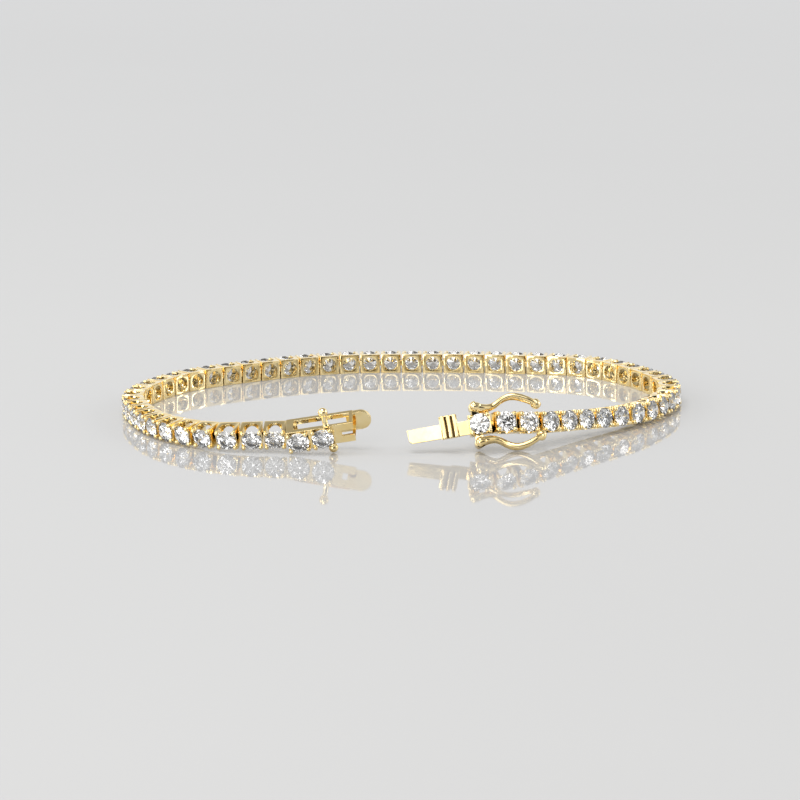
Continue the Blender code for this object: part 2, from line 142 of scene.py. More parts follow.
def cleanUp(thing, distance=0.002):
    editParts(thing, "VERT", lambda place, normal: True)
    bpy.ops.mesh.remove_doubles(threshold=distance)
    bpy.ops.mesh.dissolve_limited(angle_limit=radians(0.4))
    bpy.ops.mesh.select_all(action="SELECT")
    bpy.ops.mesh.normals_make_consistent(inside=False)
    leaveEdit()
    return thing


def easeEdges(thing, width, steps=2, angle=35):
    # the soft edge that polishing leaves
    cleanUp(thing)
    applyModifier(thing, "BEVEL", width=width, segments=steps, limit_method="ANGLE",
                  angle_limit=radians(angle), use_clamp_overlap=True)


def polish(thing, angle=35, flatOver=None):
    # smooth shading, but large plane faces stay flat so that the soft edges don't shade them
    pick(thing)
    bpy.ops.object.shade_smooth_by_angle(angle=radians(angle))
    if flatOver is not None:
        for face in thing.data.polygons:
            if face.area > flatOver:
                face.use_smooth = False
    return thing


def growPost(name, sides, start, way, rings):
    # a post grown ring by ring: (how far along, radius, sideways x, sideways other)
    along = {"out": Vector((0, -1, 0)), "up": Vector((0, 0, 1)), "down": Vector((0, 0, -1))}[way]
    turn = {"out": (pi / 2, 0, 0), "up": (0, 0, 0), "down": (pi, 0, 0)}[way]
    other = Vector((0, 0, 1)) if way == "out" else Vector((0, 1, 0))

    def centre(ring):
        return Vector(start) + along * ring[0] + Vector((ring[2], 0, 0)) + other * ring[3]

    deselectAll()
    bpy.ops.mesh.primitive_circle_add(vertices=sides, radius=rings[0][1], fill_type="NGON",
                                      location=centre(rings[0]), rotation=turn)
    thing = settle(name)
    editParts(thing, "FACE", lambda place, normal: True)
    for before, ring in zip(rings, rings[1:]):
        step = centre(ring) - centre(before)
        bpy.ops.mesh.extrude_region_move(TRANSFORM_OT_translate={"value": step})
        size = ring[1] / before[1]
        bpy.ops.transform.resize(value=(size, size, size), center_override=centre(ring))
    bpy.ops.mesh.select_all(action="SELECT")
    bpy.ops.mesh.fill_holes(sides=0)
    bpy.ops.mesh.select_all(action="SELECT")
    bpy.ops.mesh.normals_make_consistent(inside=False)
    leaveEdit()
    return thing


def placeCopy(thing, matrix, name):
    copy = thing.copy()
    copy.data = thing.data.copy()
    copy.name = name
    bpy.context.scene.collection.objects.link(copy)
    copy.data.transform(matrix)
    return copy


def joinPieces(things, name):
    pick(things[0])
    for thing in things:
        thing.select_set(True)
    if len(things) > 1:
        bpy.ops.object.join()
    joined = bpy.context.object
    joined.name = name
    joined.data.name = name
    return joined


def faceOutwards(thing):
    editParts(thing, "FACE", lambda place, normal: True)
    bpy.ops.mesh.normals_make_consistent(inside=False)
    leaveEdit()


# where every link stands

stringLine = {
    "pitch": 3.0, "gap": 0.18, "linkHeight": 2.64, "back": 1.50, "front": 1.42, "hingeInset": 0.90,
    "count": 55, "leftCount": 28,
    "route": [
        (-4.76, -9.30), (-7.64, -8.96), (-9.90, -7.16), (-11.26, -4.50), (-11.78, -1.54),
        (-10.05, 2.02), (-6.73, 4.31), (-2.93, 5.80), (1.06, 5.96), (5.05, 5.62),
        (8.83, 4.68), (11.34, 1.74), (12.08, -1.22), (10.54, -4.80), (7.42, -7.48),
        (5.68, -8.74), (3.70, -9.48),
    ],
    "boxTurn": -3.4, "boxRise": 9.2, "boxLean": 20.0, "boxLeanLinks": 10, "boxLiftLinks": 7,
    "tongueTurn": 6.0, "tongueRise": 8.2, "tongueLean": -21.0, "tongueLeanLinks": 15,
    "tongueLiftLinks": 11, "liftBend": 2.1,
    "boxHingeHeight": 2.44237, "tongueHingeHeight": 3.38419,
    "shift": (-0.43299, 5.78623, 0.02),
}


def smoothRoute(line):
    # a smooth line through the route's points, whatever their spacing
    points = [Vector(p) * line["pitch"] for p in line["route"]]
    ends = [points[0] * 2 - points[1]] + points + [points[-1] * 2 - points[-2]]
    curve = []
    for k in range(1, len(ends) - 2):
        a, b, c, d = ends[k - 1:k + 3]
        tb = sqrt((b - a).length)
        tc = tb + sqrt((c - b).length)
        td = tc + sqrt((d - c).length)
        for j in range(24):
            t = tb + (tc - tb) * j / 24
            a1 = a * ((tb - t) / tb) + b * (t / tb)
            a2 = b * ((tc - t) / (tc - tb)) + c * ((t - tb) / (tc - tb))
            a3 = c * ((td - t) / (td - tc)) + d * ((t - tc) / (td - tc))
            b1 = a1 * ((tc - t) / tc) + a2 * (t / tc)
            b2 = a2 * ((td - t) / (td - tb)) + a3 * ((t - tb) / (td - tb))
            curve.append(b1 * ((tc - t) / (tc - tb)) + b2 * ((t - tb) / (tc - tb)))
    curve.append(ends[-2])
    curve.append(ends[-2] + (ends[-2] - ends[-3]).normalized() * line["pitch"] * 12)
    return curve


def walkRoute(curve, steps):
    # hinge places along the line, each one step from the last
    places = [curve[0].copy()]
    here = 0
    for step in steps:
        origin = places[-1]
        while here < len(curve) - 2 and (curve[here + 1] - origin).length < step:
            here += 1
        low, high = 0.0, 1.0
        for _ in range(40):
            middle = (low + high) / 2
            if (curve[here].lerp(curve[here + 1], middle) - origin).length < step:
                low = middle
            else:
                high = middle
        places.append(curve[here].lerp(curve[here + 1], high))
    return places


def frameAt(place, along, lean):
    x = along.normalized()
    flat = Vector((-x.y, x.x, 0)).normalized()
    up = x.cross(flat).normalized()
    tip = radians(lean)
    y = flat * cos(tip) + up * sin(tip)
    z = up * cos(tip) - flat * sin(tip)
    return Matrix.Translation(place) @ Matrix((x, y, z)).transposed().to_4x4()


def turnedFrame(turn, rise, lean):
    way = Vector((cos(radians(turn)) * cos(radians(rise)), sin(radians(turn)) * cos(radians(rise)),
                  sin(radians(rise))))
    return frameAt(Vector((0, 0, 0)), way, lean)


def layString(line):
    # the string leans and climbs towards both parts of the clasp
    count, pitch = line["count"], line["pitch"]

    def leanAt(place):
        left = line["boxLean"] * max(0.0, 1 - place / line["boxLeanLinks"])
        return left + line["tongueLean"] * max(0.0, 1 - (count - place) / line["tongueLeanLinks"])

    def standHeight(lean):
        reach = line["front"] if lean > 0 else line["back"]
        return line["linkHeight"] / 2 * cos(radians(lean)) + reach * abs(sin(radians(lean)))

    heights = [standHeight(leanAt(k)) + line["hingeInset"] * sin(radians(leanAt(k)))
               for k in range(count + 1)]
    first = line["boxHingeHeight"] - heights[0]
    last = line["tongueHingeHeight"] - heights[-1]
    for k in range(count + 1):
        heights[k] += first * max(0.0, 1 - k / line["boxLiftLinks"]) ** line["liftBend"]
        heights[k] += last * max(0.0, 1 - (count - k) / line["tongueLiftLinks"]) ** line["liftBend"]
    level = list(heights)
    for k in range(1, count):
        heights[k] += abs(level[k + 1] - level[k - 1]) / (2 * pitch) * (pitch - line["gap"]) / 2
    steps = [sqrt(pitch ** 2 - (heights[k + 1] - heights[k]) ** 2) for k in range(count)]
    flat = walkRoute(smoothRoute(line), steps)
    hinges = [Vector((p.x, p.y, h)) for p, h in zip(flat, heights)]
    links = []
    for k in range(count):
        near, far = hinges[k], hinges[k + 1]
        links.append(frameAt((near + far) / 2, near - far, leanAt(k + 0.5))
                     @ Matrix.Translation((0, -line["hingeInset"], 0)))
    joints = [frameAt(hinges[k], hinges[max(k - 1, 0)] - hinges[min(k + 1, count)], leanAt(k))
              for k in range(count + 1)]
    boxTurned = turnedFrame(line["boxTurn"], line["boxRise"], line["boxLean"])
    boxPin = Vector((-(claspBox["left"] + line["gap"] / 2), line["hingeInset"], 0))
    tongueTurned = turnedFrame(line["tongueTurn"], line["tongueRise"], line["tongueLean"])
    tonguePin = Vector((pitch / 2, line["hingeInset"], 0))
    toMetres = Matrix.Scale(mm, 4) @ Matrix.Translation(line["shift"])
    return {
        "links": [toMetres @ f for f in links],
        "hinges": [toMetres @ f for f in joints],
        "box": toMetres @ Matrix.Translation(hinges[0] - boxTurned @ boxPin) @ boxTurned,
        "tongue": toMetres @ Matrix.Translation(hinges[-1] - tongueTurned @ tonguePin) @ tongueTurned,
    }


# finishes

def addNode(tree, kind, place, **settings):
    node = tree.nodes.new(kind)
    node.location = place
    for key, value in settings.items():
        setattr(node, key, value)
    return node


handPolish = {"drift": 420.0, "driftDetail": 3.0, "patches": 1500.0, "patchDetail": 4.0,
              "hairlines": 5200.0, "hairlineDetail": 2.0, "hairlineStretch": (1.0, 1.0, 9.0),
              "reliefDepth": 0.00002}


def buildPolishGroup(look):
    # the slight unevenness of hand-polished metal: colour drift, soft patches and hairlines
    group = bpy.data.node_groups.new("handPolish", "ShaderNodeTree")
    for name, kind in (("Place", "NodeSocketVector"), ("Bright Metal", "NodeSocketColor"),
                       ("Deep Metal", "NodeSocketColor"), ("Smooth", "NodeSocketFloat"),
                       ("Dull", "NodeSocketFloat")):
        group.interface.new_socket(name=name, in_out="INPUT", socket_type=kind)
    for name, kind in (("Colour", "NodeSocketColor"), ("Roughness", "NodeSocketFloat"),
                       ("Height", "NodeSocketFloat")):
        group.interface.new_socket(name=name, in_out="OUTPUT", socket_type=kind)
    enter = addNode(group, "NodeGroupInput", (-900, 0))
    leave = addNode(group, "NodeGroupOutput", (700, 0))
    drift = addNode(group, "ShaderNodeTexNoise", (-600, 250))
    drift.inputs["Scale"].default_value = look["drift"]
    drift.inputs["Detail"].default_value = look["driftDetail"]
    patches = addNode(group, "ShaderNodeTexNoise", (-600, 0))
    patches.inputs["Scale"].default_value = look["patches"]
    patches.inputs["Detail"].default_value = look["patchDetail"]
    stretch = addNode(group, "ShaderNodeMapping", (-760, -260))
    stretch.inputs["Scale"].default_value = look["hairlineStretch"]
    hairlines = addNode(group, "ShaderNodeTexNoise", (-560, -260))
    hairlines.inputs["Scale"].default_value = look["hairlines"]
    hairlines.inputs["Detail"].default_value = look["hairlineDetail"]
    tint = addNode(group, "ShaderNodeMix", (-150, 250), data_type="RGBA")
    soften = addNode(group, "ShaderNodeMapRange", (-360, 250))
    soften.inputs["From Min"].default_value = 0.35
    soften.inputs["From Max"].default_value = 0.65
    spread = addNode(group, "ShaderNodeMapRange", (-150, 0))
    spread.inputs["From Min"].default_value = 0.35
    spread.inputs["From Max"].default_value = 0.70
    add = addNode(group, "ShaderNodeMath", (-150, -260), operation="ADD")
    link = group.links.new
    for texture in (drift, patches):
        link(enter.outputs["Place"], texture.inputs["Vector"])
    link(enter.outputs["Place"], stretch.inputs["Vector"])
    link(stretch.outputs["Vector"], hairlines.inputs["Vector"])
    link(drift.outputs["Fac"], soften.inputs["Value"])
    link(soften.outputs["Result"], tint.inputs["Factor"])
    link(enter.outputs["Bright Metal"], tint.inputs["A"])
    link(enter.outputs["Deep Metal"], tint.inputs["B"])
    link(patches.outputs["Fac"], spread.inputs["Value"])
    link(enter.outputs["Smooth"], spread.inputs["To Min"])
    link(enter.outputs["Dull"], spread.inputs["To Max"])
    link(hairlines.outputs["Fac"], add.inputs[0])
    link(patches.outputs["Fac"], add.inputs[1])
    link(tint.outputs["Result"], leave.inputs["Colour"])
    link(spread.outputs["Result"], leave.inputs["Roughness"])
    link(add.outputs["Value"], leave.inputs["Height"])
    return group


def goldFinish(name, group, look):
    material = bpy.data.materials.new(name)
    material.use_nodes = True
    tree = material.node_tree
    shader = tree.nodes["Principled BSDF"]
    shader.inputs["Metallic"].default_value = 1.0
    place = addNode(tree, "ShaderNodeTexCoord", (-900, 0))
    hand = addNode(tree, "ShaderNodeGroup", (-600, 0), node_tree=group)
    hand.inputs["Bright Metal"].default_value = look["bright"]
    hand.inputs["Deep Metal"].default_value = look["deep"]
    hand.inputs["Smooth"].default_value = look["smooth"]
    hand.inputs["Dull"].default_value = look["dull"]
    relief = addNode(tree, "ShaderNodeBump", (-250, -250))
    relief.inputs["Strength"].default_value = look["relief"]
    relief.inputs["Distance"].default_value = handPolish["reliefDepth"]
    tree.links.new(place.outputs["Object"], hand.inputs["Place"])
    tree.links.new(hand.outputs["Colour"], shader.inputs["Base Color"])
    tree.links.new(hand.outputs["Roughness"], shader.inputs["Roughness"])
    tree.links.new(hand.outputs["Height"], relief.inputs["Height"])
    tree.links.new(relief.outputs["Normal"], shader.inputs["Normal"])
    return material


goldLooks = {
    "polished": {"bright": (1.0, 0.83, 0.47, 1), "deep": (0.965, 0.745, 0.35, 1), "smooth": 0.03,
                 "dull": 0.09, "relief": 0.06},
    "cast": {"bright": (0.96, 0.76, 0.40, 1), "deep": (0.88, 0.65, 0.27, 1), "smooth": 0.14,
             "dull": 0.28, "relief": 0.25},
    # near-black gold: painted shade for the floors of the thumb tab's grooves
    "paintedGrooveShade": {"bright": (0.10, 0.06, 0.02, 1), "deep": (0.04, 0.025, 0.01, 1), "smooth": 0.30,
                  "dull": 0.45, "relief": 0.25},
}

stoneLook = {"clear": (1.0, 1.0, 1.0, 1), "cool": (0.95, 0.975, 1.0, 1), "ior": 2.42,
             "clearness": 0.97, "filmScale": 2500.0, "filmRoughness": 0.03}


def stoneFinish(name, look):
    # colourless stones, each with its own faint tone and a trace of film on its facets
    material = bpy.data.materials.new(name)
    material.use_nodes = True
    tree = material.node_tree
    shader = tree.nodes["Principled BSDF"]
    shader.inputs["Transmission Weight"].default_value = look["clearness"]
    shader.inputs["IOR"].default_value = look["ior"]
    tone = addNode(tree, "ShaderNodeAttribute", (-700, 100), attribute_name="stoneTone")
    tint = addNode(tree, "ShaderNodeMix", (-300, 100), data_type="RGBA")
    tint.inputs["A"].default_value = look["clear"]
    tint.inputs["B"].default_value = look["cool"]
    place = addNode(tree, "ShaderNodeTexCoord", (-900, -200))
    smears = addNode(tree, "ShaderNodeTexNoise", (-700, -200))
    smears.inputs["Scale"].default_value = look["filmScale"]
    film = addNode(tree, "ShaderNodeMapRange", (-300, -200))
    film.inputs["From Min"].default_value = 0.55
    film.inputs["From Max"].default_value = 0.85
    film.inputs["To Min"].default_value = 0.0
    film.inputs["To Max"].default_value = look["filmRoughness"]
    tree.links.new(tone.outputs["Fac"], tint.inputs["Factor"])
    tree.links.new(tint.outputs["Result"], shader.inputs["Base Color"])
    tree.links.new(place.outputs["Object"], smears.inputs["Vector"])
    tree.links.new(smears.outputs["Fac"], film.inputs["Value"])
    tree.links.new(film.outputs["Result"], shader.inputs["Roughness"])
    return material


polishGroup = buildPolishGroup(handPolish)
polishedGold = goldFinish("polishedGold", polishGroup, goldLooks["polished"])
castGold = goldFinish("castGold", polishGroup, goldLooks["cast"])
# near-black gold that paints the shade in the thumb tab's grooves
grooveShadeGold = goldFinish("grooveShadeGold", polishGroup, goldLooks["paintedGrooveShade"])
diamond = stoneFinish("diamond", stoneLook)
print("finishes made")


def dress(thing, material):
    thing.data.materials.clear()
    thing.data.materials.append(material)
    return thing


# the round brilliant, cut facet by facet from a round blank

brilliant = {
    "radius": 1.312, "girdle": 0.014, "girdleDepth": 1.08, "table": 0.57, "blankSides": 48,
    "bezelAngle": 34.5, "starAngle": 22.0, "upperAngle": 39.7, "mainAngle": 40.75, "lowerAngle": 41.3,
    "turnStep": 137.5, "rock": 1.5, "toneStep": 0.618,
}


def cutFacets(radius, level, angle, up, turns):
    # plane cuts at one angle to the table, one for each turn in degrees
    tilt = radians(angle)
    for turn in turns:
        a = radians(turn)
        outward = (sin(tilt) * cos(a), sin(tilt) * sin(a), cos(tilt) * up)
        bpy.ops.mesh.select_all(action="SELECT")
        bpy.ops.mesh.bisect(plane_co=(radius * cos(a), radius * sin(a), level), plane_no=outward,
                            use_fill=True, clear_outer=True, clear_inner=False, threshold=0.00002)


def cutBrilliant(shape):
    radius, half = shape["radius"], shape["girdle"]
    deselectAll()
    bpy.ops.mesh.primitive_cylinder_add(vertices=shape["blankSides"], radius=radius, depth=radius * 3,
                                        location=(0, 0, -radius * 0.5))
    stone = settle("brilliant")
    tableEdge = radius * shape["table"]
    bezel = radians(shape["bezelAngle"])
    tableLevel = half + (radius - tableEdge) * sin(bezel) / cos(bezel)
    editParts(stone, "VERT", lambda place, normal: True)
    eighths = [45 * k for k in range(8)]
    between = [22.5 + 45 * k for k in range(8)]
    sixteenths = [11.25 + 22.5 * k for k in range(16)]
    cutFacets(radius, half, shape["bezelAngle"], 1, eighths)
    cutFacets(radius, half, shape["upperAngle"], 1, sixteenths)
    cutFacets(radius, -half, shape["mainAngle"], -1, eighths)
    cutFacets(radius, -half, shape["lowerAngle"], -1, sixteenths)
    cutFacets(0, tableLevel, 0, 1, [0])
    cutFacets(tableEdge * cos(radians(22.5)), tableLevel, shape["starAngle"], 1, between)
    bpy.ops.mesh.select_all(action="SELECT")
    bpy.ops.mesh.remove_doubles(threshold=0.001)
    bpy.ops.mesh.normals_make_consistent(inside=False)
    leaveEdit()
    seat = Matrix.Translation((0, -shape["girdleDepth"], 0))
    stone.data.transform(seat @ Matrix.Rotation(pi / 2, 4, "X"))
    pick(stone)
    bpy.ops.object.shade_flat()
    return stone


def setStones(places, name, shape, stone, grow=1.0):
    # one stone at each place, turned about its own axis, rocked a little, with its own tone
    seat = Matrix.Translation((0, -shape["girdleDepth"], 0))
    copies = []
    for k, place in enumerate(places):
        turn = Matrix.Rotation(radians(k * shape["turnStep"] % 45), 4, "Y")
        rock = (Matrix.Rotation(radians(shape["rock"] * sin(k * 2.4)), 4, "X")
                @ Matrix.Rotation(radians(shape["rock"] * cos(k * 3.7)), 4, "Z"))
        moved = place @ seat @ Matrix.Scale(grow, 4) @ rock @ turn @ seat.inverted()
        copy = placeCopy(stone, moved, "stone_%d" % k)
        tone = copy.data.attributes.new("stoneTone", "FLOAT", "POINT")
        tone.data.foreach_set("value", [(k * shape["toneStep"]) % 1.0] * len(copy.data.vertices))
        copies.append(copy)
    return dress(joinPieces(copies, name), diamond)


# one four-prong link

linkShape = {
    "halfLength": 1.41, "halfHeight": 1.32, "wallFront": 0.96, "back": 1.50, "sideBar": 0.36,
    "archMiddle": -0.12, "holeRadius": 0.97, "relief": 0.12, "edge": 0.04,
    "prongX": 1.170, "prongZ": 1.085, "prongRoot": -0.55,
    "prongRings": [(0.0, 0.215, 0.0), (0.38, 0.205, 0.0), (0.50, 0.200, 0.01), (0.58, 0.250, 0.03),
                   (0.67, 0.285, 0.05), (0.75, 0.270, 0.06), (0.82, 0.205, 0.065), (0.86, 0.125, 0.065),
                   (0.875, 0.05, 0.065)],
    "seatRadius": 1.36, "seatDepth": 1.20,
}


def growProngs(shape, stand=0.0, root=None, step=0.0):
    # four claws with a round bead that bends over the stone's edge
    start = shape["prongRoot"] if root is None else root
    extra = -(shape["prongRoot"] - start) + stand
    claws = []
    for sideX in (-1, 1):
        for sideZ in (-1, 1):
            rings = [(0.0, shape["prongRings"][0][1], 0, 0)]
            for along, radius, lean in shape["prongRings"][1:]:
                rings.append((along + extra, radius, -sideX * lean, -sideZ * lean))
            foot = (step + sideX * shape["prongX"], start, sideZ * shape["prongZ"])
            claws.append(growPost("claw", 12, foot, "out", rings))
    return claws


def seatCutter(shape, stand=0.0, step=0.0):
    # a cone a little larger than the stone's lower half
    front = -brilliant["girdleDepth"] - stand
    return addDrum("seat", shape["seatRadius"], front, front + shape["seatDepth"], "y", (step, 0),
                   tipRadius=0.001)


def buildSetting(shape, name):
    half, height = shape["halfLength"], shape["halfHeight"]
    inner = half - shape["sideBar"]
    body = addBlock(name, (-half, half), (-shape["wallFront"], shape["back"]), (-height, height))
    editParts(body, "EDGE", lambda place, way: abs(way.z) > 0.9 and place.y > 0)
    bpy.ops.mesh.bevel(offset=shape["relief"], segments=2, affect="EDGES")
    leaveEdit()
    # the arch that is open at the top and bottom, its round end against the inner plate
    arch = addDrum("arch", inner, -height * 2, height * 2, "z", (0, shape["archMiddle"]), 40)
    editParts(arch, "VERT", lambda place, normal: place.y < shape["archMiddle"] - 0.01)
    bpy.ops.transform.translate(value=(0, -2.0, 0))
    leaveEdit()
    hole = addDrum("hole", shape["holeRadius"], -0.4, shape["back"] * 2, "y", (0, 0), 40)
    cutAway(body, arch, hole, seatCutter(shape))
    easeEdges(body, shape["edge"], 2, 30)
    solder(body, *growProngs(shape))
    return polish(cleanUp(body))


hingeShape = {"length": 0.76, "width": 0.60, "height": 0.76, "edge": 0.10}


def buildKnuckle(shape):
    spans = [(-shape[key] / 2, shape[key] / 2) for key in ("length", "width", "height")]
    block = addBlock("knuckle", *spans)
    easeEdges(block, shape["edge"], 3)
    return polish(block)


# the clasp's box

claspBox = {
    "left": 4.62, "right": 4.06, "height": 2.84, "endWall": 1.00, "slotWall": 0.42, "rail": 0.56,
    "frontInner": -1.08, "frontRail": 1.74, "plateSet": 0.30, "window": 1.60, "mouth": 2.24,
    "sideSlot": 0.82, "sideSlotLength": 1.16, "tabRadius": 1.34, "tabReach": 0.84,
    "stand": 1.06, "stoneStep": 3.20, "stoneRadius": 1.434, "back": 1.50, "edge": 0.09,
    "posts": {"up": (0.64, 2.00), "down": (0.98, 0.70)}, "postDepth": -1.20, "postRadius": 0.35,
    "postFoot": 1.35, "postFootLength": 0.50, "postNeckStart": 0.62, "postTop": 0.92,
    "ballRadius": 0.62, "azure": 1.16, "flatOver": 0.5,
    "seatPlay": 0.02, "prongX": 1.19, "prongZ": 1.18, "clawRoot": 0.50,
}


def buildClaspBox(box):
    half = box["height"] / 2
    left, right, rail, back = -box["left"], box["right"], box["rail"], box["back"]
    front = box["frontRail"]
    inside = box["frontInner"]
    boxSetting = dict(linkShape, seatRadius=box["stoneRadius"] + box["seatPlay"],
                      prongX=box["prongX"], prongZ=box["prongZ"])
    roomLeft, roomRight = left + box["endWall"], right - box["slotWall"]
    body = addBlock("claspBox", (left, right), (-front, back), (-half, half))
    cutAway(
        body,
        addBlock("room", (roomLeft, roomRight), (inside, back - rail), (-half * 2, half * 2)),
        addBlock("window", (roomLeft + rail / 2, roomRight - rail), (back - rail * 2, back * 2),
                 (-box["window"] / 2, box["window"] / 2)),
        addBlock("mouth", (roomRight - rail, right * 2), (inside, back - rail),
                 (-box["mouth"] / 2, box["mouth"] / 2)),
        addBlock("sideSlot", (right - box["slotWall"] - box["sideSlotLength"], right * 2),
                 (-front * 2, inside), (-box["sideSlot"] / 2, box["sideSlot"] / 2)),
        addBlock("plateStep", (linkShape["halfLength"], right * 2), (-front * 2, -front + box["plateSet"]),
                 (-half * 2, half * 2)),
    )
    # half-round tab behind the mouth
    tab = addDrum("tab", box["tabRadius"], back - rail, back, "y", (right + box["tabReach"], 0), 48)
    neck = addBlock("tabNeck", (right - box["slotWall"], right + box["tabReach"]), (back - rail, back),
                    (-box["tabRadius"], box["tabRadius"]))
    solder(body, tab, neck)
    # a seat for each stone and the round hole behind it
    for k in (0, 1):
        step = -k * box["stoneStep"]
        azure = addDrum("azure", box["azure"], -front * 2, inside + 0.1, "y", (step, 0), 40)
        cutAway(body, seatCutter(boxSetting, box["stand"], step), azure)
    easeEdges(body, box["edge"], 3, 40)
    parts = [polish(body, 38, box["flatOver"])]
    for k in (0, 1):
        for claw in growProngs(boxSetting, box["stand"], -front + box["clawRoot"], -k * box["stoneStep"]):
            parts.append(polish(claw, 60))
    # ball posts above and below the front rail
    ball, thin = box["ballRadius"], box["postRadius"]
    for way, (postPlace, stand) in box["posts"].items():
        side = 1 if way == "up" else -1
        centre = half + stand
        neckReach = centre - (half - rail) - sqrt(ball ** 2 - thin ** 2) * 0.98
        rings = [(0.0, thin * box["postFoot"], 0, 0), (box["postFootLength"], thin * box["postFoot"], 0, 0),
                 (box["postNeckStart"], thin, 0, 0), (neckReach, thin * box["postTop"], 0, 0)]
        # the ball's rings, from the neck to the crown
        for j in range(1, 11):
            a = -pi / 2 * 0.72 + pi * 0.86 * j / 10
            rings.append((centre - (half - rail) + ball * sin(a), max(ball * cos(a), 0.03), 0, 0))
        post = growPost("post", 24, (postPlace, box["postDepth"], side * (half - rail)), way, rings)
        parts.append(polish(post, 60))
    return joinPieces(parts, "claspBox")


# the tongue side: clasp link, neck, folded tongue, thumb tab and the catches' lugs

tongueShape = {
    "claspHalf": 1.50, "neckHeight": 1.84, "neckDrop": 0.10, "neckThickness": 0.40, "neckBack": 0.70,
    "tabNear": 2.80, "tabFar": 5.12, "tabHeight": 3.00, "tabRise": 0.28, "tabFront": 1.30,
    "tabThickness": 1.00, "ribs": 3, "ribGap": 0.26, "ribDepth": 0.50, "ribRound": 0.20,
    "grooveInset": (0.20, 0.05, 0.08),
    "length": 4.18, "rootHeight": 1.96, "tipHeight": 1.82, "leaf": 0.30, "leafGap": 0.34, "foldGap": 0.20,
    "backLeafTrim": (0.16, 0.14), "frontLeafTrim": (-0.08, 0.12), "cornerWide": 0.34, "cornerHigh": 0.36,
    "dimplePlace": -6.1, "dimpleRadius": 0.16, "dimpleShare": 0.72,
    "shoulderRadius": 1.30, "shoulderHole": 1.00, "shoulderFront": -0.62, "shoulderPlace": -0.16,
    "pinHole": 0.36, "lugWall": 0.30, "lugLength": 1.00, "stalkShare": 0.80, "lugBite": 0.44,
    "footInset": 0.25, "footBack": 0.42, "edge": 0.06, "flatOver": 0.25,
}

catchShape = {
    "place": -0.34, "stand": 2.34, "length": 8.26, "wire": 0.35, "knobReach": 1.40, "knobRadius": 0.645,
    "knobSwell": (1.45, 0.92, 0.80), "endRadius": 0.70, "endSwell": (0.9, 0.95, 1.0), "endSetback": 0.265,
    "pinRadius": 0.22, "upperFold": -6.4, "lowerFold": 2.6,
    "path": [  # run, bow, spread and wire share
        (0.00, -0.006, 1.00, 1.45), (0.06, -0.022, 0.97, 1.42), (0.13, -0.030, 0.86, 1.36),
        (0.20, -0.030, 0.64, 1.24), (0.27, -0.016, 0.50, 1.12), (0.33, 0.014, 0.48, 1.08),
        (0.38, 0.052, 0.50, 1.06), (0.43, 0.085, 0.56, 1.06), (0.48, 0.110, 0.63, 1.06),
        (0.54, 0.130, 0.69, 1.06), (0.60, 0.137, 0.72, 1.06), (0.67, 0.130, 0.725, 1.06),
        (0.74, 0.110, 0.70, 1.04), (0.81, 0.083, 0.65, 1.02), (0.88, 0.050, 0.56, 1.00),
        (0.93, 0.022, 0.44, 1.00), (0.97, 0.000, 0.30, 1.00), (1.00, -0.005, 0.00, 1.00),
    ],
}


def applyTaper(thing, end, share):
    # draws the height together at the far end
    editParts(thing, "VERT", lambda place, normal: place.x < end + 0.5)
    bpy.ops.transform.resize(value=(1, 1, share), center_override=(end, 0, 0))
    leaveEdit()


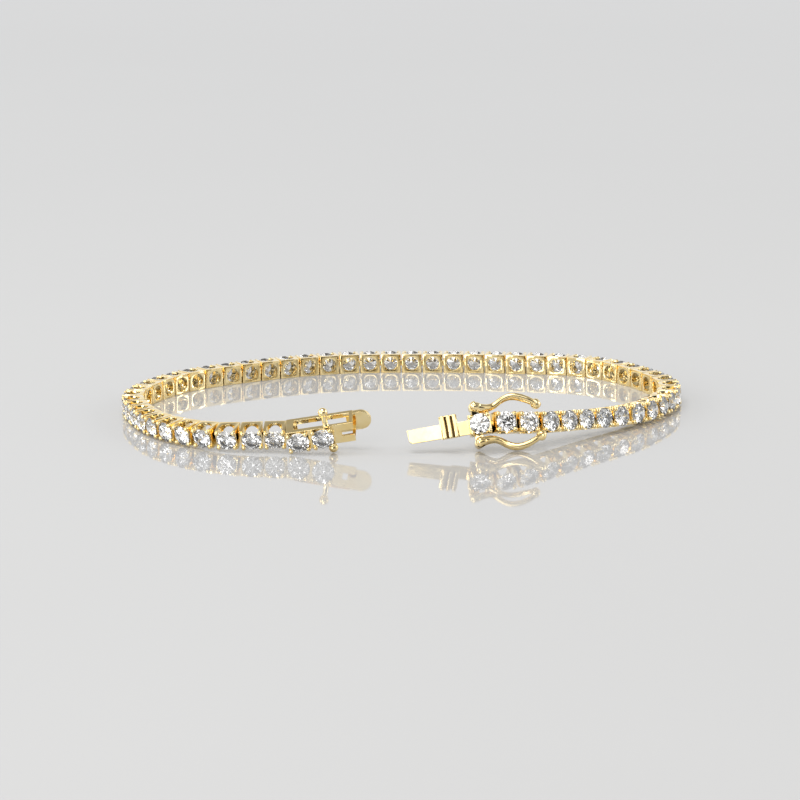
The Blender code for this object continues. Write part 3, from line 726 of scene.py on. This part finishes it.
def buildTongue(shape, setting):
    half = linkShape["halfHeight"]
    near, far, back = shape["tabNear"], shape["tabFar"], shape["neckBack"]
    tip = -far - shape["length"]
    root, point = shape["rootHeight"] / 2, shape["tipHeight"] / 2
    body = placeCopy(setting, Matrix.Identity(4), "tongueGold")
    shoulder = addDrum("shoulder", shape["shoulderRadius"], shape["shoulderFront"], linkShape["back"], "y",
                       (shape["shoulderPlace"], 0), 40)
    cutAway(shoulder, addDrum("inner", shape["shoulderHole"], -2, linkShape["back"] * 2, "y", (0, 0), 40))
    drop, halfNeck = shape["neckDrop"], shape["neckHeight"] / 2
    neck = addBlock("neck", (-near - shape["tabThickness"], -shape["claspHalf"] + 0.3),
                    (back - shape["neckThickness"], back), (-drop - halfNeck, -drop + halfNeck))
    easeEdges(neck, shape["edge"])
    # blade: the back leaf and the leaf folded over its front, drawn narrower to the tip
    leaf = shape["leaf"]
    foldLow = back - leaf - shape["foldGap"]
    leafFront = foldLow - leaf
    backSpan, frontSpan = [(-root + shape[trim][0], root - shape[trim][1])
                           for trim in ("backLeafTrim", "frontLeafTrim")]
    blade = addBlock("blade", (tip, -near), (back - leaf, back), backSpan)
    frontLeaf = addBlock("frontLeaf", (tip, -near), (leafFront, foldLow), frontSpan)
    editParts(frontLeaf, "VERT", lambda place, normal: place.x > tip + 0.1)
    bpy.ops.transform.translate(value=(0, -shape["leafGap"], 0))
    leaveEdit()
    fold = addBlock("fold", (tip, tip + leaf), (leafFront, back), backSpan)
    solder(blade, frontLeaf, fold)
    # the slanted lower corner of the tip
    bottom, cornerWide, cornerHigh = frontSpan[0], shape["cornerWide"], shape["cornerHigh"]
    corner = addBlock("corner", (tip - cornerWide, tip + cornerWide), (foldLow - 2, back + 1),
                      (bottom - cornerHigh, bottom + 2 * cornerHigh))
    editParts(corner, "VERT", lambda place, normal: place.x > tip and place.z > bottom)
    bpy.ops.transform.translate(value=(0, 0, -2 * cornerHigh))
    leaveEdit()
    cutAway(blade, corner)
    applyTaper(blade, tip, point / root)
    easeEdges(blade, shape["edge"] * 1.3, 3, 40)
    dimple = addDrum("dimple", shape["dimpleRadius"], leafFront - 0.5,
                     leafFront - shape["leafGap"] * shape["dimpleShare"], "y",
                     (shape["dimplePlace"], 0.05), 20, 0.04)
    cutAway(blade, dimple)
    # thumb tab: rounded ribs side by side on a stem
    width = (far - near) / shape["ribs"]
    tabFront = -shape["tabFront"]
    tabBack, grooveFloor = tabFront + shape["tabThickness"], tabFront + shape["ribDepth"]
    low, high = shape["tabRise"] - shape["tabHeight"] / 2, shape["tabRise"] + shape["tabHeight"] / 2
    ribs = []
    for k in range(shape["ribs"]):
        start = -far + k * width
        rib = addBlock("rib", (start + shape["ribGap"] / 2, start + width - shape["ribGap"] / 2),
                       (tabFront, tabBack), (low, high))
        editParts(rib, "EDGE", lambda place, way: place.y < tabFront + 0.01)
        bpy.ops.mesh.bevel(offset=width * shape["ribRound"], segments=5, affect="EDGES")
        leaveEdit()
        ribs.append(rib)
    base = addBlock("tabBase", (-far + 0.01, -near - 0.01), (grooveFloor, tabBack),
                    (low + 0.03, high - 0.03))
    # the floor of the grooves: a thin near-black sheet, painted shade between the ribs
    insetX, insetY, insetZ = shape["grooveInset"]
    grooves = addBlock("grooves", (-far + insetX, -near - insetX),
                       (grooveFloor - insetY, grooveFloor + insetY), (low + insetZ, high - insetZ))
    easeEdges(grooves, 0.01)
    stem = addBlock("stem", (-far + 0.05, -near), (tabFront + 0.6, foldLow), (-root, root))
    for piece in ribs + [base, stem]:
        easeEdges(piece, shape["edge"] * 0.7)
    thumb = solder(base, *ribs, stem)
    for piece in (neck, blade, thumb):
        polish(piece, 38, shape["flatOver"])
    # lugs that carry the catches' pins, each on a stalk and a foot
    lugRadius = shape["pinHole"] + shape["lugWall"]
    halfLug, stalkHalf = shape["lugLength"] / 2, lugRadius * shape["stalkShare"]
    halfFoot = shape["claspHalf"] - shape["footInset"]
    parts = [shoulder]
    for side in (-1, 1):
        x, z = catchShape["place"], side * catchShape["stand"]
        rootZ = side * (half - shape["lugBite"])
        lug = addDrum("lug", lugRadius, -halfLug, halfLug, "y", (x, z), 32)
        stalk = addBlock("stalk", (x - stalkHalf, x + stalkHalf), (-halfLug, halfLug), sorted((rootZ, z)))
        solder(lug, stalk)
        cutAway(lug, addDrum("bore", shape["pinHole"], -2, 2, "y", (x, z), 24))
        easeEdges(lug, shape["edge"])
        foot = addBlock("foot", (-halfFoot, halfFoot), (-halfLug, linkShape["back"] - shape["footBack"]),
                        sorted((rootZ, side * half)))
        easeEdges(foot, shape["edge"])
        parts += [lug, foot]
    for part in parts:
        polish(part, 38)
    return joinPieces([body, neck, blade, thumb] + parts, "tongue"), grooves


def buildCatch(shape):
    # wire: a path drawn point by point, made a round wire, then knobs on both ends of its pin
    front = [(run * shape["length"], -spread * shape["knobReach"], bow * shape["length"], share)
             for run, bow, spread, share in shape["path"]]
    rear = [(x, -y, z, share) for x, y, z, share in reversed(front[:-1])]
    stops = front + rear
    deselectAll()
    bpy.ops.mesh.primitive_plane_add(size=0.1, location=(0, 0, 0))
    path = settle("path")
    editParts(path, "VERT", lambda place, normal: True)
    bpy.ops.mesh.merge(type="CENTER")
    bpy.ops.transform.translate(value=stops[0][:3])
    for before, stop in zip(stops, stops[1:]):
        step = [stop[k] - before[k] for k in range(3)]
        bpy.ops.mesh.extrude_region_move(TRANSFORM_OT_translate={"value": step})
    leaveEdit()
    pick(path)
    bpy.ops.object.convert(target="CURVE")
    path = bpy.context.object
    path.data.dimensions = "3D"
    spline = path.data.splines[0]
    forward = spline.points[0].co.y < 0
    for k, point in enumerate(spline.points):
        point.radius = stops[k if forward else -1 - k][3]
    path.data.bevel_depth = shape["wire"]
    path.data.bevel_resolution = 4
    path.data.use_fill_caps = True
    bpy.ops.object.convert(target="MESH")
    wire = bpy.context.object
    wire.name = "wire"
    applyModifier(wire, "SUBSURF", levels=1, render_levels=1)
    faceOutwards(wire)
    parts = [wire]
    reach, knob = shape["knobReach"], shape["knobRadius"]
    pin = addDrum("pin", shape["pinRadius"], -reach, reach, "y", (0, 0), 24)
    parts.append(pin)
    for side in (-1, 1):
        deselectAll()
        bpy.ops.mesh.primitive_uv_sphere_add(segments=24, ring_count=16, radius=knob,
                                             location=(0, side * reach, 0))
        bead = settle("bead")
        # a slightly flattened dome, fuller towards the strand
        editParts(bead, "VERT", lambda place, normal: place.x > 0.05)
        bpy.ops.transform.resize(value=shape["knobSwell"], center_override=(0, side * reach, -0.1))
        leaveEdit()
        parts.append(bead)
    # the ball at the wire's far end
    deselectAll()
    endPlace = (shape["length"] - shape["endSetback"], 0, 0)
    bpy.ops.mesh.primitive_uv_sphere_add(segments=20, ring_count=14, radius=shape["endRadius"],
                                         location=endPlace)
    end = settle("endBead")
    editParts(end, "VERT", lambda place, normal: place.z > 0.05)
    bpy.ops.transform.resize(value=shape["endSwell"], center_override=endPlace)
    leaveEdit()
    parts.append(end)
    for part in parts:
        polish(part, 60)
    return joinPieces(parts, "catch")


def placeCatch(catch, fold, side, body, name, node):
    # onto its lug, folded back; the lower catch is the upper one mirrored
    pivot = Matrix.Translation((catchShape["place"], 0, catchShape["stand"]))
    seat = pivot @ Matrix.Rotation(-radians(fold), 4, "Y")
    flip = Matrix.Identity(4) if side > 0 else Matrix.Scale(-1, 4, (0, 0, 1))
    piece = placeCopy(catch, places["tongue"] @ flip @ seat, name)
    faceOutwards(piece)
    dress(piece, polishedGold)
    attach(piece, body)
    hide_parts(node)


# make and place everything

places = layString(stringLine)
print("string laid,", len(places["links"]), "links")

stone = cutBrilliant(brilliant)
print("brilliant cut, faces:", len(stone.data.polygons))
setting = buildSetting(linkShape, "setting")
print("setting made, faces:", len(setting.data.polygons))
knuckle = buildKnuckle(hingeShape)


def ownPiece(thing, slot, *nodes):
    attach(thing, "bracelet")
    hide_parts(*nodes)


def buildString(name, first, last, hingeFirst, hingeLast, node):
    links = [placeCopy(setting, place, "link") for place in places["links"][first:last]]
    gold = dress(joinPieces(links, "links" + name), polishedGold)
    ownPiece(gold, "gold", node)
    pins = [placeCopy(knuckle, place, "pin") for place in places["hinges"][hingeFirst:hingeLast]]
    hinges = dress(joinPieces(pins, "hinges" + name), castGold)
    ownPiece(hinges, "gold", node)
    stones = setStones(places["links"][first:last], "stones" + name, brilliant, stone)
    ownPiece(stones, "diamond", node)


leftCount, count = stringLine["leftCount"], stringLine["count"]
buildString("Left", 0, leftCount, 0, leftCount + 1, "chain_left")
buildString("Right", leftCount, count, leftCount + 1, count + 1, "chain_right")
print("string dressed")

boxLocal = buildClaspBox(claspBox)
boxGold = dress(placeCopy(boxLocal, places["box"], "boxGold"), polishedGold)
ownPiece(boxGold, "gold", "clasp_box")
proud = Matrix.Translation((0, -claspBox["stand"], 0))
oneStep = Matrix.Translation((-claspBox["stoneStep"], 0, 0))
boxPlaces = [places["box"] @ proud @ oneStep, places["box"] @ proud]
boxStones = setStones(boxPlaces, "boxStones", brilliant, stone,
                      claspBox["stoneRadius"] / brilliant["radius"])
ownPiece(boxStones, "diamond", "box_stone_1", "box_stone_2")
print("clasp box made")

tongueLocal, grooveShadeLocal = buildTongue(tongueShape, setting)
tongueGold = dress(placeCopy(tongueLocal, places["tongue"], "tonguePiece"), polishedGold)
ownPiece(tongueGold, "gold", "clasp_tongue")
# the groove floors get the near-black gold: painted shade between the ribs
tabGrooveShade = dress(placeCopy(grooveShadeLocal, places["tongue"], "tabGrooveShade"), grooveShadeGold)
ownPiece(tabGrooveShade, "gold", "clasp_tongue")
tongueStone = setStones([places["tongue"]], "tongueStone", brilliant, stone)
ownPiece(tongueStone, "diamond", "clasp_stone")
print("tongue made")

catchLocal = buildCatch(catchShape)
placeCatch(catchLocal, catchShape["upperFold"], 1, "catch_upper", "catchUpper", "safety_upper")
placeCatch(catchLocal, catchShape["lowerFold"], -1, "catch_lower", "catchLower", "safety_lower")
print("catches made")
for helper in (stone, setting, knuckle, boxLocal, tongueLocal, grooveShadeLocal, catchLocal):
    bpy.data.objects.remove(helper)


# floor, light and camera

floorLook = {"pale": (0.56, 0.565, 0.575, 1), "shade": (0.52, 0.525, 0.535, 1), "roughness": 0.04,
             "ior": 1.62, "cloudScale": 6.0, "size": 8.0}


def buildFloor(look):
    deselectAll()
    bpy.ops.mesh.primitive_plane_add(size=look["size"], location=(0, 0, 0))
    floor = settle("floor")
    material = bpy.data.materials.new("paleFloor")
    material.use_nodes = True
    tree = material.node_tree
    shader = tree.nodes["Principled BSDF"]
    shader.inputs["Roughness"].default_value = look["roughness"]
    shader.inputs["IOR"].default_value = look["ior"]
    place = addNode(tree, "ShaderNodeTexCoord", (-700, 0))
    cloud = addNode(tree, "ShaderNodeTexNoise", (-500, 0))
    cloud.inputs["Scale"].default_value = look["cloudScale"]
    tint = addNode(tree, "ShaderNodeMix", (-250, 0), data_type="RGBA")
    tint.inputs["A"].default_value = look["pale"]
    tint.inputs["B"].default_value = look["shade"]
    tree.links.new(place.outputs["Object"], cloud.inputs["Vector"])
    tree.links.new(cloud.outputs["Fac"], tint.inputs["Factor"])
    tree.links.new(tint.outputs["Result"], shader.inputs["Base Color"])
    dress(floor, material)


buildFloor(floorLook)

lights = [
    # name, place, looks at, size, watts, colour
    ("overhead", (-0.14, -0.16, 0.58), (0, 0, 0), (0.50, 0.34), 2.0, (1.0, 0.99, 0.97)),
    ("frontSoft", (0.02, -0.66, 0.42), (0, 0, 0), (0.86, 0.30), 1.3, (1.0, 0.985, 0.96)),
    ("leftStrip", (-0.60, -0.10, 0.25), (0, 0, 0), (0.12, 0.40), 0.8, (0.95, 0.98, 1.0)),
    ("leftFront", (-0.34, -0.52, 0.10), (0, 0, 0), (0.26, 0.16), 0.7, (1.0, 0.99, 0.97)),
    ("rightStrip", (0.60, 0.05, 0.22), (0, 0, 0), (0.12, 0.35), 0.7, (1.0, 0.98, 0.95)),
]
for name, place, target, size, watts, colour in lights:
    deselectAll()
    bpy.ops.object.light_add(type="AREA", location=place)
    lamp = bpy.context.object
    lamp.name = name
    lamp.data.shape = "RECTANGLE"
    lamp.data.size, lamp.data.size_y = size
    lamp.data.energy = watts
    lamp.data.color = colour
    lamp.rotation_euler = (Vector(target) - Vector(place)).to_track_quat("-Z", "Y").to_euler()

surroundLook = {
    "below": (0.95, 0.96, 0.97, 1), "above": (0.34, 0.32, 0.30, 1), "between": ((0.48, 0.93), (0.70, 0.42)),
    "unevenScale": 2.2, "unevenDetail": 1.0, "unevenFrom": (0.40, 0.58), "unevenTo": (0.66, 1.0),
    "frontFrom": (0.10, -0.45), "darkTowards": (0.40, -0.915, 0.04), "darkFrom": (0.84, 0.86),
    "darkTo": (1.0, 0.02), "strength": 0.98,
}


def addRange(tree, place, start, end=(0.0, 1.0)):
    node = addNode(tree, "ShaderNodeMapRange", place)
    node.inputs["From Min"].default_value, node.inputs["From Max"].default_value = start
    node.inputs["To Min"].default_value, node.inputs["To Max"].default_value = end
    return node


def buildSurround(look):
    # pale all round and darker overhead; uneven in front, with one dark patch low on the right
    world = bpy.data.worlds.new("studio")
    bpy.context.scene.world = world
    world.use_nodes = True
    sky = world.node_tree
    background = sky.nodes["Background"]
    around = addNode(sky, "ShaderNodeTexCoord", (-900, 0))
    split = addNode(sky, "ShaderNodeSeparateXYZ", (-700, 0))
    ramp = addNode(sky, "ShaderNodeValToRGB", (-500, 200))
    ramp.color_ramp.elements[0].position = 0.0
    ramp.color_ramp.elements[0].color = look["below"]
    ramp.color_ramp.elements[1].position = 1.0
    ramp.color_ramp.elements[1].color = look["above"]
    for height, grey in look["between"]:
        stop = ramp.color_ramp.elements.new(height)
        stop.color = (grey, grey * 0.99, grey * 0.97, 1)
    clouds = addNode(sky, "ShaderNodeTexNoise", (-700, -200))
    clouds.inputs["Scale"].default_value = look["unevenScale"]
    clouds.inputs["Detail"].default_value = look["unevenDetail"]
    uneven = addRange(sky, (-500, -200), look["unevenFrom"], look["unevenTo"])
    frontHalf = addRange(sky, (-500, -450), look["frontFrom"])
    blend = addNode(sky, "ShaderNodeMix", (-300, -200))
    blend.inputs["A"].default_value = 1.0
    towards = addNode(sky, "ShaderNodeVectorMath", (-700, -650), operation="DOT_PRODUCT")
    towards.inputs[1].default_value = look["darkTowards"]
    patch = addRange(sky, (-500, -650), look["darkFrom"], look["darkTo"])
    shade = addNode(sky, "ShaderNodeMath", (-150, -300), operation="MULTIPLY")
    strength = addNode(sky, "ShaderNodeMath", (0, -300), operation="MULTIPLY")
    strength.inputs[1].default_value = look["strength"]
    link = sky.links.new
    for socket in (split.inputs["Vector"], clouds.inputs["Vector"], towards.inputs[0]):
        link(around.outputs["Generated"], socket)
    link(split.outputs["Z"], ramp.inputs["Fac"])
    link(split.outputs["Y"], frontHalf.inputs["Value"])
    link(clouds.outputs["Fac"], uneven.inputs["Value"])
    link(frontHalf.outputs["Result"], blend.inputs["Factor"])
    link(uneven.outputs["Result"], blend.inputs["B"])
    link(towards.outputs["Value"], patch.inputs["Value"])
    link(blend.outputs["Result"], shade.inputs[0])
    link(patch.outputs["Result"], shade.inputs[1])
    link(shade.outputs["Value"], strength.inputs[0])
    link(ramp.outputs["Color"], background.inputs["Color"])
    link(strength.outputs["Value"], background.inputs["Strength"])


buildSurround(surroundLook)

view = {"target": (-0.00038, 0.00592, 0.0), "distance": 0.4201, "elevation": 13.14, "azimuth": -0.44,
        "roll": -0.48, "lens": 136.83, "sensor": 36, "clip": (0.01, 20)}


def placeCamera(look):
    e, a, roll = radians(look["elevation"]), radians(look["azimuth"]), radians(look["roll"])
    forward = Vector((cos(e) * sin(a), cos(e) * cos(a), -sin(e)))
    right = Vector((cos(a), -sin(a), 0))
    up = right.cross(forward)
    turnedRight = right * cos(roll) + up * sin(roll)
    turnedUp = up * cos(roll) - right * sin(roll)
    deselectAll()
    bpy.ops.object.camera_add(location=Vector(look["target"]) - forward * look["distance"])
    camera = bpy.context.object
    camera.name = "camera"
    camera.rotation_euler = Matrix((turnedRight, turnedUp, -forward)).transposed().to_euler()
    camera.data.lens = look["lens"]
    camera.data.sensor_width = look["sensor"]
    camera.data.clip_start, camera.data.clip_end = look["clip"]
    bpy.context.scene.camera = camera


placeCamera(view)
bpy.context.scene.view_settings.view_transform = "Standard"
print("camera and lights set")
